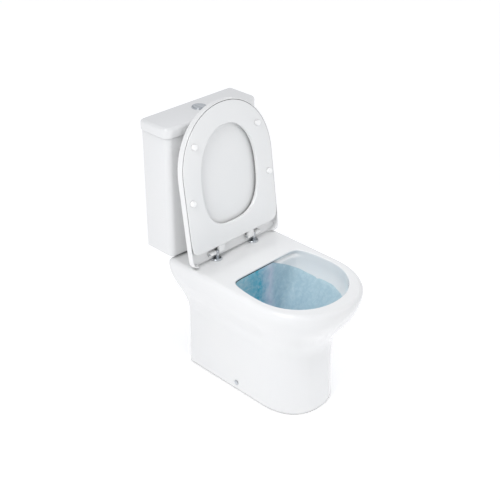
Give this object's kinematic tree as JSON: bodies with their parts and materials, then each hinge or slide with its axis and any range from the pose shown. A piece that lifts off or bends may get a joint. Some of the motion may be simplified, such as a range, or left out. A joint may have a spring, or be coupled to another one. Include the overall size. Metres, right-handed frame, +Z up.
{
  "type": "close coupled toilet",
  "caption": "Close coupled toilet: soft-edged open-back pan, slim cistern with a dual flush button, and a D-shaped seat and cover raised on their hinges.",
  "frame": {"origin": "on the floor, midway between the front of the pan and the back of the cistern, on the middle plane", "axes": "+Z up, +Y towards the wall behind the cistern, +X to the left of a seated user"},
  "size_m": [0.362, 0.65, 0.8652],
  "materials": {
    "china": "gloss",
    "chrome": "polished",
    "seat_plastic": "gloss",
    "soft_buffer": "satin",
    "white_plastic": "satin",
    "grey_plastic": "satin",
    "rubber": "matte",
    "steel": "satin"
  },
  "bodies": {
    "toilet": {"pan": "china", "pan_bowl": "china", "pan_outlet": "china", "cistern_tank": "china", "cistern_lid": "china", "button_collar": "chrome", "button_nut": "grey_plastic", "flush_valve_base": "white_plastic", "flush_valve_seal": "rubber", "flush_valve_backnut": "white_plastic", "flush_valve_tower": "white_plastic", "doughnut_gasket": "rubber", "coupling_bolts": "steel", "coupling_washers": "rubber", "coupling_wing_nuts": "white_plastic", "fill_valve_body": "white_plastic", "fill_valve_washer": "rubber", "fill_valve_nut": "white_plastic", "hinge_bases": "chrome", "hinge_posts": "chrome", "hinge_pins": "steel", "hinge_studs": "steel", "hinge_washers": "rubber", "hinge_nuts": "white_plastic", "floor_brackets": "grey_plastic", "side_screws": "steel", "side_caps": "chrome"},
    "cover": {"cover": "seat_plastic", "cover_hinges": "seat_plastic", "cover_buffers": "soft_buffer"},
    "seat": {"seat": "seat_plastic", "seat_hinges": "seat_plastic", "seat_buffers": "soft_buffer"},
    "full_button": {"full_flush_button": "chrome", "full_push_rod": "white_plastic"},
    "half_button": {"half_flush_button": "chrome", "half_push_rod": "white_plastic"},
    "canister": {"flush_valve_canister": "grey_plastic", "canister_seal": "rubber"},
    "float": {"fill_valve_float": "grey_plastic"}
  },
  "joints": [
    {"name": "cover_hinge", "type": "hinge", "parent": "toilet", "child": "cover", "pos_m": [0, 0.122, 0.423], "axis": [-1, 0, 0], "range_deg": [-98, 0]},
    {"name": "seat_hinge", "type": "hinge", "parent": "cover", "child": "seat", "pos_m": [0, 0.122, 0.423], "axis": [1, 0, 0], "range_deg": [0, 98]},
    {"name": "full_flush_press", "type": "slide", "parent": "toilet", "child": "full_button", "axis": [0, 0, -1], "range_m": [0, 0.006], "stiffness_N_per_m": 1200, "springref_m": -0.004},
    {"name": "half_flush_press", "type": "slide", "parent": "toilet", "child": "half_button", "axis": [0, 0, -1], "range_m": [0, 0.006], "stiffness_N_per_m": 1200, "springref_m": -0.004},
    {"name": "canister_lift", "type": "slide", "parent": "toilet", "child": "canister", "axis": [0, 0, 1], "range_m": [0, 0.024]},
    {"name": "float_rise", "type": "slide", "parent": "toilet", "child": "float", "axis": [0, 0, 1], "range_m": [0, 0.035]}
  ],
  "couplings": [
    {"joint": "canister_lift", "follows": "full_flush_press", "ratio": 4}
  ]
}
